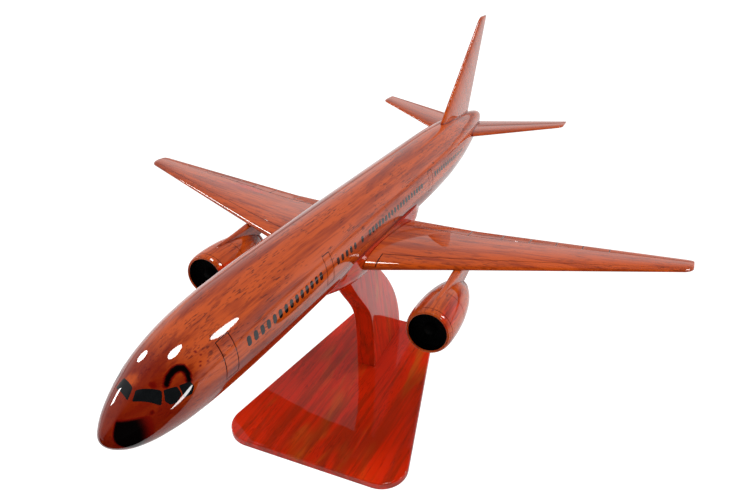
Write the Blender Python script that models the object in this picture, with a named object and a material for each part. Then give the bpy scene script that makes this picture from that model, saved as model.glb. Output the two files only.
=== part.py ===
"""Desktop airliner model: a carved, varnished wooden twin-engined airliner that sits on two
pegs on the curved arm of a wooden stand.

World frame: +Z up, nose towards -Y, the aircraft's port (left) side towards +X, origin at the
centre of the stand's underside.  Everything that lifts off with the aircraft is drawn in the
aircraft's own axes (x to port, a = distance aft of the nose tip, h = height above the datum
line) and hangs on an empty at the centre of the seat on top of the arm, which carries the
nose-up attitude.  All lengths are in metres.
"""
import math

import bmesh
import bpy
import numpy as np
from mathutils import Vector

GAP = 0.0003                      # clearance between pieces that touch

# Attitude and place of the aircraft on the stand
PITCH = math.radians(9.44)        # nose-up angle of the aircraft
SEAT_A, SEAT_H = 0.2032, -0.0228  # seat centre on the belly, in aircraft axes
SEAT_Y, SEAT_Z = -0.0055, 0.1041  # the same point in the world

# Stand
FELT_THICK = 0.0009
BOARD_BOTTOM = FELT_THICK + GAP
BOARD_TOP = 0.0060
BOARD_FRONT, BOARD_REAR = -0.0721, 0.0720          # y of the wide and the narrow end
BOARD_FRONT_HALF, BOARD_REAR_HALF = 0.0614, 0.0302
BOARD_FRONT_ROUND, BOARD_REAR_ROUND = 0.016, 0.009
BOARD_EASE = 0.0008
FELT_INSET = 0.002
ARM_HALF = 0.0063
ARM_FRONT_FOOT, ARM_REAR_FOOT = 0.0178, 0.0644                     # y of the foot's two edges
ARM_FRONT_HANDLES = ((0.0178, 0.0680), (0.0118, 0.0490))           # (y, z) Bezier handles
ARM_REAR_HANDLES = ((0.0644, 0.0455), (0.0310, 0.0758))
ARM_TOP_FRONT_A, ARM_TOP_REAR_A = 0.1875, 0.2182                   # stations of the cut top
ARM_STEPS = 14
SCREW_Y = (0.030, 0.052)
SCREW_RADIUS, SCREW_HEAD_RADIUS, SCREW_TIP_Z = 0.00175, 0.0034, 0.026
PEG_A = (0.2005, 0.2120)
PEG_RADIUS, PEG_IN_ARM, PEG_ABOVE = 0.002, 0.009, 0.0085

# Fuselage: control stations and the crown, keel and half-width there
LENGTH = 0.4702
BODY_A = np.array([0, 4, 10, 20, 35, 55, 80, 110, 180, 300, 340, 375, 408, 440, 462, 470.2]) / 1000
BODY_CROWN = np.array([-5.2, -0.8, 3.5, 8.9, 14.5, 18.6, 21.0, 22.0, 22.5, 22.6, 22.6, 22.0, 19.7,
                       16.6, 13.4, 11.6]) / 1000
BODY_KEEL = np.array([-5.2, -11.2, -14.5, -17.1, -18.6, -19.1, -19.4, -19.5, -19.2, -18.7, -17.4,
                      -14.2, -9.2, -2.8, 3.2, 6.2]) / 1000
BODY_HALF = np.array([0, 5.8, 9.4, 13.2, 16.8, 19.0, 20.0, 20.3, 20.1, 19.8, 19.3, 17.5, 14.4, 9.8,
                      5.8, 3.4]) / 1000
TAIL_ROUND = 0.0035
BODY_SIDES = 36

# Belly fairing: a saddle under the fuselage with flat sides for the wings
FAIR_A = np.array([140, 152, 162, 174, 186, 222, 250, 262, 276, 296]) / 1000
FAIR_HALF = np.array([12.0, 15.6, 18.6, 20.4, 20.6, 20.6, 20.5, 19.8, 17.0, 11.0]) / 1000
FAIR_BOTTOM = np.array([-16.5, -18.4, -20.0, -21.6, -22.8, -22.8, -22.8, -22.2, -20.0, -15.8]) / 1000
FAIR_TOP, FAIR_KNEE = -0.0032, -0.0110
FAIR_FLAT = 0.4                   # share of the half-width that is flat underneath

# Lifting surfaces: span stations, leading and trailing edges and thickness there
WING_SPAN = np.array([20.9, 62.0, 186.0]) / 1000
WING_LE = np.array([176.2, 198.6, 266.2]) / 1000
WING_TE = np.array([253.8, 257.3, 282.2]) / 1000
WING_THICK = np.array([9.6, 6.2, 2.4]) / 1000
WING_H = np.array([-10.2, -10.6, -11.9]) / 1000
FIN_SPAN = np.array([10.0, 22.0, 91.6]) / 1000
FIN_LE = np.array([352.7, 366.8, 447.9]) / 1000
FIN_TE = np.array([436.4, 440.7, 466.5]) / 1000
FIN_THICK = np.array([6.4, 6.0, 2.2]) / 1000
STAB_SPAN = np.array([3.0, 12.0, 77.6]) / 1000
STAB_LE = np.array([395.8, 402.2, 447.8]) / 1000
STAB_TE = np.array([454.6, 456.2, 468.0]) / 1000
STAB_THICK = np.array([4.8, 4.6, 2.0]) / 1000
STAB_H = np.array([5.9, 6.8, 13.7]) / 1000
TE_THICK = 0.0007
SECTION_STEPS = 9                 # points from leading to trailing edge on each surface

# Engines
ENGINE_X, ENGINE_H = 0.0656, -0.0263
NACELLE_OUTER = ((0.1552, 0.0109), (0.1558, 0.0115), (0.1575, 0.0121), (0.1620, 0.0126),
                 (0.1690, 0.0128), (0.1780, 0.0125), (0.1880, 0.0115), (0.1970, 0.0099),
                 (0.2030, 0.0083), (0.2060, 0.0072), (0.2066, 0.0066))
NACELLE_INNER_RADIUS, NACELLE_BORE_A = 0.0101, 0.1640
CONE_STEM_RADIUS, CONE_STEM_A = 0.0018, 0.1990
FAN_A, FAN_THICK, SPINNER_RADIUS, SPINNER_A = 0.1604, 0.0030, 0.0034, 0.1570
CONE_A, CONE_END_A, CONE_RADIUS = 0.2069, 0.2142, 0.0063
ENGINE_SIDES = 28
PYLON_A = np.array([165.5, 171, 186, 204, 220, 232, 238]) / 1000
PYLON_TOP = np.array([-13.6, -12.7, -12.1, -11.0, -10.6, -10.6, -10.6]) / 1000
PYLON_BOTTOM = np.array([-18.0, -20.0, -21.0, -22.5, -19.5, -15.6, -13.9]) / 1000
PYLON_HALF = np.array([0.5, 1.1, 1.7, 2.4, 2.4, 1.6, 0.7]) / 1000

# Dowels and pins
DOWEL_SIDES = 14
WING_DOWEL_A, WING_DOWEL_RADIUS, WING_DOWEL_X = (0.202, 0.222), 0.00175, (0.008, 0.038)
FIN_DOWEL_A, FIN_DOWEL_RADIUS, FIN_DOWEL_H = (0.386, 0.406), 0.00125, (0.008, 0.032)
STAB_DOWEL_A, STAB_DOWEL_RADIUS, STAB_DOWEL_X = (0.424, 0.434), 0.0010, (0.0045, 0.024)
PIN_A, PIN_RADIUS, PIN_H = 0.2050, 0.0008, (-0.0225, -0.0102)


def clear_scene():
    """Remove every object that the opened scene holds."""
    for item in list(bpy.data.objects):
        bpy.data.objects.remove(item, do_unlink=True)


def material(name, colour, roughness, metallic=0.0):
    """Return the named Principled material, made on first use."""
    made = bpy.data.materials.get(name)
    if made is None:
        made = bpy.data.materials.new(name)
        made.use_nodes = True
        shader = made.node_tree.nodes["Principled BSDF"]
        shader.inputs["Base Color"].default_value = (*colour, 1.0)
        shader.inputs["Roughness"].default_value = roughness
        shader.inputs["Metallic"].default_value = metallic
    return made


def mahogany():
    return material("mahogany", (0.33, 0.085, 0.028), 0.12)


def black_lacquer():
    return material("black_lacquer", (0.008, 0.008, 0.009), 0.15)


def pale_dowel():
    return material("pale_dowel", (0.62, 0.45, 0.28), 0.6)


def zinc_steel():
    return material("zinc_steel", (0.62, 0.62, 0.60), 0.3, 1.0)


def dark_felt():
    return material("dark_felt", (0.03, 0.03, 0.032), 0.95)


def smooth_line(x, xs, ys):
    """Monotone cubic curve through the control points (xs, ys), read at x."""
    x, xs, ys = np.asarray(x, float), np.asarray(xs, float), np.asarray(ys, float)
    step = np.diff(xs)
    rise = np.diff(ys) / step
    slope = np.zeros_like(ys)
    slope[0], slope[-1] = rise[0], rise[-1]
    same = rise[:-1] * rise[1:] > 0
    total = np.where(same, rise[:-1] + rise[1:], 1.0)
    slope[1:-1] = np.where(same, 2 * rise[:-1] * rise[1:] / total, 0.0)
    k = np.clip(np.searchsorted(xs, x) - 1, 0, len(xs) - 2)
    u = (x - xs[k]) / step[k]
    ends = (1 + 2 * u) * (1 - u) ** 2 * ys[k] + u ** 2 * (3 - 2 * u) * ys[k + 1]
    return ends + step[k] * u * (1 - u) * ((1 - u) * slope[k] - u * slope[k + 1])


def finish(name, mesh, skin, parent, place):
    """Wrap a mesh in a named object, shaded smooth with its sharp edges kept."""
    mesh.shade_smooth()
    mesh.set_sharp_from_angle(angle=math.radians(35))
    made = bpy.data.objects.new(name, mesh)
    bpy.context.scene.collection.objects.link(made)
    if skin is not None:
        mesh.materials.append(skin)
    made.parent = parent
    made.location = place
    return made


def solid(name, rings, skin, parent=None, place=(0, 0, 0), start_tip=None, end_tip=None):
    """Skin closed rings of points into one solid; each end is a flat cap or a point."""
    rings = [np.asarray(ring) for ring in rings]
    sides = len(rings[0])
    points = [tuple(point) for ring in rings for point in ring]
    faces = []
    for row in range(len(rings) - 1):
        for side in range(sides):
            after = (side + 1) % sides
            low, high = row * sides, (row + 1) * sides
            faces.append((low + side, low + after, high + after, high + side))
    for tip, start in ((start_tip, 0), (end_tip, (len(rings) - 1) * sides)):
        ring = [start + side for side in range(sides)]
        if tip is None:
            faces.append(tuple(ring))
            continue
        points.append(tuple(tip))
        for side in range(sides):
            faces.append((ring[side], ring[(side + 1) % sides], len(points) - 1))
    mesh = bpy.data.meshes.new(name)
    mesh.from_pydata(points, [], faces)
    work = bmesh.new()
    work.from_mesh(mesh)
    bmesh.ops.recalc_face_normals(work, faces=work.faces)
    work.to_mesh(mesh)
    work.free()
    return finish(name, mesh, skin, parent, place)


def rod(name, start, end, radius, skin, parent=None, place=(0, 0, 0)):
    """A round rod from start to end."""
    start, end = Vector(start), Vector(end)
    turn = (end - start).to_track_quat("Z", "Y")
    rings = []
    for centre in (start, end):
        ring = []
        for side in range(DOWEL_SIDES):
            angle = 2 * math.pi * side / DOWEL_SIDES
            ring.append(centre + turn @ Vector((radius * math.cos(angle), radius * math.sin(angle), 0)))
        rings.append(ring)
    return solid(name, rings, skin, parent, place)


def as_cutter(item):
    """Mark an object as a tool that only cuts."""
    item.hide_render = True
    item.display_type = "WIRE"
    return item


def cut(item, tool):
    """Take the tool's volume out of the item."""
    step = item.modifiers.new("cut by " + tool.name, "BOOLEAN")
    step.operation = "DIFFERENCE"
    step.solver = "EXACT"
    step.object = tool


def aircraft_point(x, a, h):
    """World position of a point that is given in the aircraft's axes."""
    aft, up = a - SEAT_A, h - SEAT_H
    y = SEAT_Y + aft * math.cos(PITCH) + up * math.sin(PITCH)
    z = SEAT_Z - aft * math.sin(PITCH) + up * math.cos(PITCH)
    return Vector((x, y, z))


# ---------------------------------------------------------------- stand
def board_outline(inset=0.0):
    """Trapezium with four rounded corners, counter-clockwise from the front right."""
    slant = math.atan2(BOARD_FRONT_HALF - BOARD_REAR_HALF, BOARD_REAR - BOARD_FRONT)
    outline = []
    corners = ((BOARD_FRONT_HALF, BOARD_FRONT, BOARD_FRONT_ROUND, -math.pi / 2, slant),
               (BOARD_REAR_HALF, BOARD_REAR, BOARD_REAR_ROUND, slant, math.pi / 2))
    for half, y, radius, first, last in corners:
        reach = radius * math.tan((last - first) / 2)
        along = Vector((math.cos(first + math.pi / 2), math.sin(first + math.pi / 2)))
        tangent = Vector((half, y)) - along * reach
        centre = tangent - radius * Vector((math.cos(first), math.sin(first)))
        for step in range(8):
            angle = first + (last - first) * step / 7
            outline.append(centre + (radius - inset) * Vector((math.cos(angle), math.sin(angle))))
    return outline + [Vector((-point.x, point.y)) for point in reversed(outline)]


def plate(name, bottom, top, skin, inset=0.0):
    """The board's outline raised from bottom to top."""
    outline = board_outline(inset)
    return solid(name, [[(p.x, p.y, z) for p in outline] for z in (bottom, top)], skin)


def screw(name, y):
    """Countersunk wood screw, pointing up, as one turned solid."""
    z = BOARD_BOTTOM + GAP
    neck = z + SCREW_HEAD_RADIUS - SCREW_RADIUS
    profile = ((z, SCREW_HEAD_RADIUS), (neck, SCREW_RADIUS), (SCREW_TIP_Z - 0.004, SCREW_RADIUS))
    rings = [[(radius * math.cos(2 * math.pi * side / DOWEL_SIDES),
               y + radius * math.sin(2 * math.pi * side / DOWEL_SIDES), height)
              for side in range(DOWEL_SIDES)] for height, radius in profile]
    return solid(name, rings, zinc_steel(), end_tip=(0, y, SCREW_TIP_Z))


def screw_hole(name, y):
    """The clearance hole and countersink for one screw."""
    z = BOARD_BOTTOM - GAP
    head, shank = SCREW_HEAD_RADIUS + 2 * GAP, SCREW_RADIUS + GAP
    profile = ((z, head), (z + head - shank, shank), (SCREW_TIP_Z + GAP, shank))
    rings = [[(radius * math.cos(2 * math.pi * side / DOWEL_SIDES),
               y + radius * math.sin(2 * math.pi * side / DOWEL_SIDES), height)
              for side in range(DOWEL_SIDES)] for height, radius in profile]
    return as_cutter(solid(name, rings, None))


def arm_edge(foot_y, handles, top):
    """Points of one edge of the arm, a cubic Bezier curve from the foot to the cut top."""
    start = Vector((foot_y, BOARD_TOP + GAP))
    low, high = (Vector(handle) for handle in handles)
    points = []
    for step in range(ARM_STEPS + 1):
        t = step / ARM_STEPS
        points.append((1 - t) ** 3 * start + 3 * (1 - t) ** 2 * t * low
                      + 3 * (1 - t) * t * t * high + t ** 3 * top)
    return points


def build_arm():
    """The curved plank between the board and the belly, with its top cut square to the pegs."""
    tops = [aircraft_point(0, a, SEAT_H - GAP) for a in (ARM_TOP_FRONT_A, ARM_TOP_REAR_A)]
    front = arm_edge(ARM_FRONT_FOOT, ARM_FRONT_HANDLES, Vector((tops[0].y, tops[0].z)))
    rear = arm_edge(ARM_REAR_FOOT, ARM_REAR_HANDLES, Vector((tops[1].y, tops[1].z)))
    rings = []
    for ahead, behind in zip(front, rear):
        rings.append([(-ARM_HALF, *ahead), (ARM_HALF, *ahead), (ARM_HALF, *behind), (-ARM_HALF, *behind)])
    return solid("stand_arm", rings, mahogany())


def build_stand():
    plate("base_felt", 0.0, FELT_THICK, dark_felt(), FELT_INSET)
    board = plate("base_board", BOARD_BOTTOM, BOARD_TOP, mahogany())
    ease = board.modifiers.new("eased edges", "BEVEL")
    ease.width = BOARD_EASE
    ease.segments = 2
    ease.limit_method = "ANGLE"
    ease.angle_limit = math.radians(60)
    arm = build_arm()
    for name, y in zip(("front", "rear"), SCREW_Y):
        screw("arm_screw_" + name, y)
        hole = screw_hole("screw_hole_" + name, y)
        cut(board, hole)
        cut(arm, hole)
    for name, a in zip(("front", "rear"), PEG_A):
        foot, head = SEAT_H - GAP - PEG_IN_ARM, SEAT_H + PEG_ABOVE
        rod("peg_" + name, aircraft_point(0, a, foot), aircraft_point(0, a, head), PEG_RADIUS, pale_dowel())
        socket = rod("peg_socket_" + name, aircraft_point(0, a, foot - GAP),
                     aircraft_point(0, a, head), PEG_RADIUS + GAP, None)
        cut(arm, as_cutter(socket))


# ---------------------------------------------------------------- aircraft
def body_ring(a, grow=0.0):
    """One cross-section of the fuselage, an ellipse between crown and keel."""
    t = math.sqrt(a)
    stations = np.sqrt(BODY_A)
    crown = float(smooth_line(t, stations, BODY_CROWN))
    keel = float(smooth_line(t, stations, BODY_KEEL))
    half = float(smooth_line(t, stations, BODY_HALF))
    past = max(0.0, a - (LENGTH - TAIL_ROUND)) / TAIL_ROUND
    close = math.sqrt(max(0.0, 1 - past * past))
    middle, tall = (crown + keel) / 2, (crown - keel) / 2
    angle = np.arange(BODY_SIDES) * 2 * math.pi / BODY_SIDES
    x = (half * close + grow) * np.sin(angle)
    h = middle + (tall * close + grow) * np.cos(angle)
    return np.column_stack((x, np.full(BODY_SIDES, a), h))


def body_stations():
    """Cross-sections close together at the nose and tail, and wide apart along the barrel."""
    nose = LENGTH * 0.17 * (np.arange(1, 11) / 10) ** 2
    barrel = np.linspace(0.100, 0.300, 5)
    tail = np.linspace(0.320, LENGTH - TAIL_ROUND, 11)
    end = LENGTH - TAIL_ROUND * (1 - np.sin(np.radians((30, 60, 80))))
    return np.concatenate((nose, barrel, tail, end))


def build_body(craft):
    tip = smooth_line(0.0, np.sqrt(BODY_A), BODY_CROWN)
    back = (BODY_CROWN[-1] + BODY_KEEL[-1]) / 2
    rings = [body_ring(a) for a in body_stations()]
    body = craft("fuselage", rings, mahogany(), start_tip=(0, 0, tip), end_tip=(0, LENGTH, back))
    fatter = [body_ring(a, GAP) for a in body_stations()]
    tool = craft("fuselage_clearance", fatter, None,
                 start_tip=(0, -GAP, tip), end_tip=(0, LENGTH + GAP, back))
    return body, as_cutter(tool)


def fairing_ring(a):
    """Fairing section: upright sides, elliptical lower corners and a flat underside."""
    half = float(smooth_line(a, FAIR_A, FAIR_HALF))
    bottom = float(smooth_line(a, FAIR_A, FAIR_BOTTOM))
    flat = half * FAIR_FLAT
    side = [(half, FAIR_TOP), (half, (FAIR_TOP + FAIR_KNEE) / 2)]
    for step in range(7):
        angle = math.pi / 2 * step / 6
        side.append((flat + (half - flat) * math.cos(angle),
                     FAIR_KNEE + (bottom - FAIR_KNEE) * math.sin(angle)))
    points = side + [(-x, h) for x, h in reversed(side)]
    return [(x, a, h) for x, h in points]


def build_fairing(craft, body_tool):
    stations = (0.140, 0.146, 0.152, 0.157, 0.162, 0.168, 0.174, 0.186, 0.204, 0.222, 0.240,
                0.254, 0.262, 0.269, 0.276, 0.283, 0.290, 0.296)
    fairing = craft("belly_fairing", [fairing_ring(a) for a in stations], mahogany())
    cut(fairing, body_tool)
    return fairing


def blade_section(le, te, thick, upper=0.5, grow=0.0):
    """Aerofoil outline as (along, across) pairs, from the trailing edge over the top and back.

    The half thickness is the classic four-digit formula plus a wedge that leaves a blunt
    trailing edge; upper is the share of the thickness above the chord line.
    """
    c = (1 - np.cos(np.linspace(0, math.pi, SECTION_STEPS))) / 2
    half = 5 * thick * (0.2969 * np.sqrt(c) - 0.1260 * c - 0.3516 * c ** 2 + 0.2843 * c ** 3
                        - 0.1036 * c ** 4) + TE_THICK / 2 * c
    along = le - grow + (te - le + 2 * grow) * c
    top = np.column_stack((along, 2 * upper * half + grow))[::-1]
    under = np.column_stack((along, -2 * (1 - upper) * half - grow))
    if grow == 0.0:
        return np.vstack((top, under[1:]))
    return np.vstack((top, under))


def blade(spans, plan, tip_round, upper=0.5, grow=0.0):
    """Sections of a tapered surface whose last few millimetres are rounded off in plan."""
    span_at, le_at, te_at, thick_at = plan
    tip = span_at[-1]
    sections = []
    for span in spans:
        le, te = np.interp(span, span_at, le_at), np.interp(span, span_at, te_at)
        thick = np.interp(span, span_at, thick_at)
        past = min(1.0, max(0.0, (span - (tip - tip_round)) / tip_round))
        shrink = 1 - math.sqrt(1 - past * past)
        le += 0.9 * tip_round * shrink
        te -= 0.35 * tip_round * shrink
        sections.append(blade_section(le, te, thick * (1 - 0.6 * shrink), upper, grow))
    return sections


def tip_spans(tip, tip_round):
    return tip - tip_round * (1 - np.sin(np.radians((0, 30, 55, 75, 90))))


def wing_rings(side, grow=0.0):
    spans = np.concatenate(((0.0209, 0.045, 0.062, 0.085, 0.120, 0.152), tip_spans(WING_SPAN[-1], 0.005)))
    plan = (WING_SPAN, WING_LE, WING_TE, WING_THICK)
    rings = []
    for span, section in zip(spans, blade(spans, plan, 0.005, 0.6, grow)):
        rise = np.interp(span, WING_SPAN, WING_H)
        rings.append([(side * span, along, rise + across) for along, across in section])
    return rings


def build_wing(craft, label, side, fairing, body, pylon_tools):
    wing = craft("wing_" + label, wing_rings(side), mahogany())
    pylon_tools.append(as_cutter(craft("wing_clearance_" + label, wing_rings(side, GAP), None)))
    inner, outer = WING_DOWEL_X
    height = float(np.interp(0.030, WING_SPAN, WING_H))
    for end, a in zip(("front", "rear"), WING_DOWEL_A):
        name = "wing_dowel_" + label + "_" + end
        first, last = (side * inner, a, height), (side * outer, a, height)
        craft.rod(name, first, last, WING_DOWEL_RADIUS, pale_dowel())
        first, last = (side * (inner - GAP), a, height), (side * (outer + GAP), a, height)
        tool = as_cutter(craft.rod(name + "_bore", first, last, WING_DOWEL_RADIUS + GAP, None))
        for item in (wing, fairing, body):
            cut(item, tool)
    return wing


def turned(craft, name, profile, centre, skin):
    """A turned solid about the engine's axis; the profile starts and ends on the axis."""
    x0, h0 = centre
    rings = []
    for a, radius in profile[1:-1]:
        angle = np.arange(ENGINE_SIDES) * 2 * math.pi / ENGINE_SIDES
        x, h = x0 + radius * np.cos(angle), h0 + radius * np.sin(angle)
        rings.append(np.column_stack((x, np.full(ENGINE_SIDES, a), h)))
    return craft(name, rings, skin, start_tip=(x0, profile[0][0], h0), end_tip=(x0, profile[-1][0], h0))


def nacelle_profile():
    inner, bore = NACELLE_INNER_RADIUS, NACELLE_BORE_A
    lip_a, lip_radius = NACELLE_OUTER[0]
    mouth = [(bore, 0.0), (bore, inner), (lip_a + 0.0015, inner), (lip_a + 0.0004, inner + 0.0002)]
    end_a = NACELLE_OUTER[-1][0]
    socket = [(end_a, CONE_STEM_RADIUS + GAP), (CONE_STEM_A - GAP, CONE_STEM_RADIUS + GAP),
              (CONE_STEM_A - GAP, 0.0)]
    return mouth + list(NACELLE_OUTER) + socket


def build_engine(craft, label, side, wing, wing_tool):
    """Turned nacelle, black fan face with its spinner, tail cone, pylon and hidden pin."""
    centre = (side * ENGINE_X, ENGINE_H)
    nacelle = turned(craft, "nacelle_" + label, nacelle_profile(), centre, mahogany())
    fan = [(SPINNER_A, 0.0), (SPINNER_A + 0.0008, 0.0018), (FAN_A, SPINNER_RADIUS),
           (FAN_A, NACELLE_INNER_RADIUS - GAP), (FAN_A + FAN_THICK, NACELLE_INNER_RADIUS - GAP),
           (FAN_A + FAN_THICK, 0.0)]
    turned(craft, "fan_face_" + label, fan, centre, black_lacquer())
    cone = [(CONE_STEM_A, 0.0), (CONE_STEM_A, CONE_STEM_RADIUS), (CONE_A, CONE_STEM_RADIUS)]
    for degrees in (0, 20, 40, 60, 78, 90):
        angle = math.radians(degrees)
        reach = CONE_A + (CONE_END_A - CONE_A) * math.sin(angle)
        cone.append((reach, CONE_RADIUS * math.cos(angle) if degrees < 90 else 0.0))
    turned(craft, "tail_cone_" + label, cone, centre, mahogany())

    shell = [(NACELLE_OUTER[0][0] - GAP, 0.0)]
    shell += [(a, radius + GAP) for a, radius in NACELLE_OUTER]
    for degrees in (0, 30, 60, 90):
        angle = math.radians(degrees)
        reach = CONE_A + (CONE_END_A + GAP - CONE_A) * math.sin(angle)
        shell.append((reach, (CONE_RADIUS + GAP) * math.cos(angle) if degrees < 90 else 0.0))
    shell_tool = as_cutter(turned(craft, "nacelle_clearance_" + label, shell, centre, None))

    rings = []
    for a, top, bottom, half in zip(PYLON_A, PYLON_TOP, PYLON_BOTTOM, PYLON_HALF):
        soft = half * 0.8
        right = [(half, bottom), (half, top - soft), (half * 0.72, top - soft * 0.28), (half * 0.3, top)]
        points = right + [(-x, h) for x, h in reversed(right)]
        rings.append([(side * ENGINE_X + x, a, h) for x, h in points])
    pylon = craft("pylon_" + label, rings, mahogany())
    cut(pylon, shell_tool)
    cut(pylon, wing_tool)

    low, high = ((side * ENGINE_X, PIN_A, h) for h in PIN_H)
    craft.rod("pylon_pin_" + label, low, high, PIN_RADIUS, zinc_steel())
    low, high = ((side * ENGINE_X, PIN_A, h) for h in (PIN_H[0] - GAP, PIN_H[1] + GAP))
    tool = as_cutter(craft.rod("pylon_pin_bore_" + label, low, high, PIN_RADIUS + GAP, None))
    for item in (nacelle, pylon, wing):
        cut(item, tool)


def build_fin(craft, body, body_tool):
    plan = (FIN_SPAN, FIN_LE, FIN_TE, FIN_THICK)
    spans = np.concatenate(((0.010, 0.022, 0.040, 0.065), tip_spans(FIN_SPAN[-1], 0.004)))
    rings = [[(across, along, span) for along, across in section]
             for span, section in zip(spans, blade(spans, plan, 0.004))]
    fin = craft("fin", rings, mahogany())
    cut(fin, body_tool)
    low, high = FIN_DOWEL_H
    for end, a in zip(("front", "rear"), FIN_DOWEL_A):
        name = "fin_dowel_" + end
        craft.rod(name, (0, a, low), (0, a, high), FIN_DOWEL_RADIUS, pale_dowel())
        tool = craft.rod(name + "_bore", (0, a, low - GAP), (0, a, high + GAP), FIN_DOWEL_RADIUS + GAP, None)
        cut(fin, as_cutter(tool))
        cut(body, tool)


def stab_height(span):
    return float(np.interp(span, STAB_SPAN, STAB_H))


def build_stabiliser(craft, label, side, body, body_tool):
    plan = (STAB_SPAN, STAB_LE, STAB_TE, STAB_THICK)
    spans = np.concatenate(((0.003, 0.012, 0.030, 0.052), tip_spans(STAB_SPAN[-1], 0.0035)))
    rings = [[(side * span, along, stab_height(span) + across) for along, across in section]
             for span, section in zip(spans, blade(spans, plan, 0.0035))]
    tail = craft("stabiliser_" + label, rings, mahogany())
    cut(tail, body_tool)
    inner, outer = STAB_DOWEL_X
    slope = (stab_height(outer) - stab_height(0.012)) / (outer - 0.012)
    base = stab_height(0.012) - slope * 0.012
    for end, a in zip(("front", "rear"), STAB_DOWEL_A):
        name = "stabiliser_dowel_" + label + "_" + end
        first, last = [(side * x, a, base + slope * x) for x in (inner, outer)]
        craft.rod(name, first, last, STAB_DOWEL_RADIUS, pale_dowel())
        first, last = [(side * x, a, base + slope * x) for x in (inner - GAP, outer + GAP)]
        tool = as_cutter(craft.rod(name + "_bore", first, last, STAB_DOWEL_RADIUS + GAP, None))
        cut(tail, tool)
        cut(body, tool)


class Craft:
    """Makes objects in the aircraft's axes, hung on the empty at the seat."""

    def __init__(self):
        self.seat = bpy.data.objects.new("aircraft_lift_axis", None)
        self.seat.location = (0, SEAT_Y, SEAT_Z)
        self.seat.rotation_euler = (-PITCH, 0, 0)
        bpy.context.scene.collection.objects.link(self.seat)
        self.place = (0, -SEAT_A, -SEAT_H)

    def __call__(self, name, rings, skin, **ends):
        return solid(name, rings, skin, self.seat, self.place, **ends)

    def rod(self, name, start, end, radius, skin):
        return rod(name, start, end, radius, skin, self.seat, self.place)


def build_aircraft():
    craft = Craft()
    body, body_tool = build_body(craft)
    fairing = build_fairing(craft, body_tool)
    for label, side in (("port", 1), ("starboard", -1)):
        wing_tools = []
        wing = build_wing(craft, label, side, fairing, body, wing_tools)
        build_engine(craft, label, side, wing, wing_tools[0])
        build_stabiliser(craft, label, side, body, body_tool)
    build_fin(craft, body, body_tool)
    for name, a in zip(("front", "rear"), PEG_A):
        low, high = (0, a, SEAT_H - 2 * GAP), (0, a, SEAT_H + PEG_ABOVE + GAP)
        tool = as_cutter(craft.rod("belly_socket_" + name, low, high, PEG_RADIUS + GAP, None))
        cut(fairing, tool)
        cut(body, tool)


clear_scene()
build_stand()
build_aircraft()
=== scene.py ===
"""Desktop airliner in varnished mahogany, resting on two pegs on the curved arm of its stand.

World frame: +Z up, nose towards -Y, port wing towards +X, origin under the centre of the base.
The aircraft's own axes, used for all its pieces, are x to port, a aft of the nose tip and h up,
in millimetres; the arm carries them nose-up.
"""
import math

import bpy
import numpy as np
from mathutils import Matrix, Vector


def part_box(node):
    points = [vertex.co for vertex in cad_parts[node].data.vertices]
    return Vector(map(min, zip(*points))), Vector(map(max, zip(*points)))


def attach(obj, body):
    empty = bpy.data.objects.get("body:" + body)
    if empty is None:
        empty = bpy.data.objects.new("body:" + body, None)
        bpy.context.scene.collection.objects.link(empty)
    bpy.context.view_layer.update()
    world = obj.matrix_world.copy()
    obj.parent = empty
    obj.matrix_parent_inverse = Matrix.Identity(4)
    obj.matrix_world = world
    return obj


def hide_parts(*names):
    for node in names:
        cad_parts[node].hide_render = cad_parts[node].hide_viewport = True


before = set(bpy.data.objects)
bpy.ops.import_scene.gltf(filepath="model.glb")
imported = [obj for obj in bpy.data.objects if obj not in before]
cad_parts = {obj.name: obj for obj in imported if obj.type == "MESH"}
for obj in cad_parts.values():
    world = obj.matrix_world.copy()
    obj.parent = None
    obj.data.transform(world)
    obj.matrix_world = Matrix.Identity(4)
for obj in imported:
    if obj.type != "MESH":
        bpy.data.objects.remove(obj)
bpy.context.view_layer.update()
MM = 0.001


# ------------------------------------------------------------------------------ base board
# The base is a flat mahogany board, wide under the nose and narrow under the tail, with rounded
# corners, sanded edges and the same thick glossy varnish as the aircraft.

def closed_mesh(name, rings, first=None, last=None, skin=None, **marks):
    """Piece skinned over rings of points, an array (ring, side, 3), in world metres.

    Neighbouring rings are joined by quads; each end is closed by a fan to its middle point, or
    to first or last.  The sign of the enclosed volume decides which way the faces turn.  Marks
    are values for each ring point, kept as attributes.
    """
    rows, sides, _ = rings.shape
    ends = [rings[0].mean(0) if first is None else first, rings[-1].mean(0) if last is None else last]
    points = np.vstack((rings.reshape(-1, 3), ends))
    row, side = np.meshgrid(np.arange(rows - 1), np.arange(sides), indexing="ij")
    here, after = row * sides + side, row * sides + (side + 1) % sides
    quads = np.stack((here, after, after + sides, here + sides), -1).reshape(-1, 4)
    ring = np.arange(sides)
    head = np.stack((np.roll(ring, -1), ring, np.full(sides, rows * sides)), -1)
    tail = np.stack((ring, np.roll(ring, -1), np.full(sides, rows * sides + 1)), -1)
    tail[:, :2] += (rows - 1) * sides
    fans = np.vstack((head, tail))
    three = np.vstack((quads[:, [0, 1, 2]], quads[:, [0, 2, 3]], fans))
    a, b, c = (points[three[:, k]] for k in range(3))
    if np.einsum("ij,ij->", a, np.cross(b, c)) < 0:
        quads, fans = quads[:, ::-1], fans[:, ::-1]
    mesh = bpy.data.meshes.new(name)
    mesh.from_pydata(points.tolist(), [], quads.tolist() + fans.tolist())
    mesh.shade_smooth()
    mesh.set_sharp_from_angle(angle=math.radians(40))
    for mark, values in marks.items():
        kept = mesh.attributes.new(mark, "FLOAT", "POINT")
        kept.data.foreach_set("value", np.append(values.ravel(), (0.0, 0.0)).astype(np.float32))
    piece = bpy.data.objects.new(name, mesh)
    bpy.context.scene.collection.objects.link(piece)
    mesh.materials.append(skin)
    return piece


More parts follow.
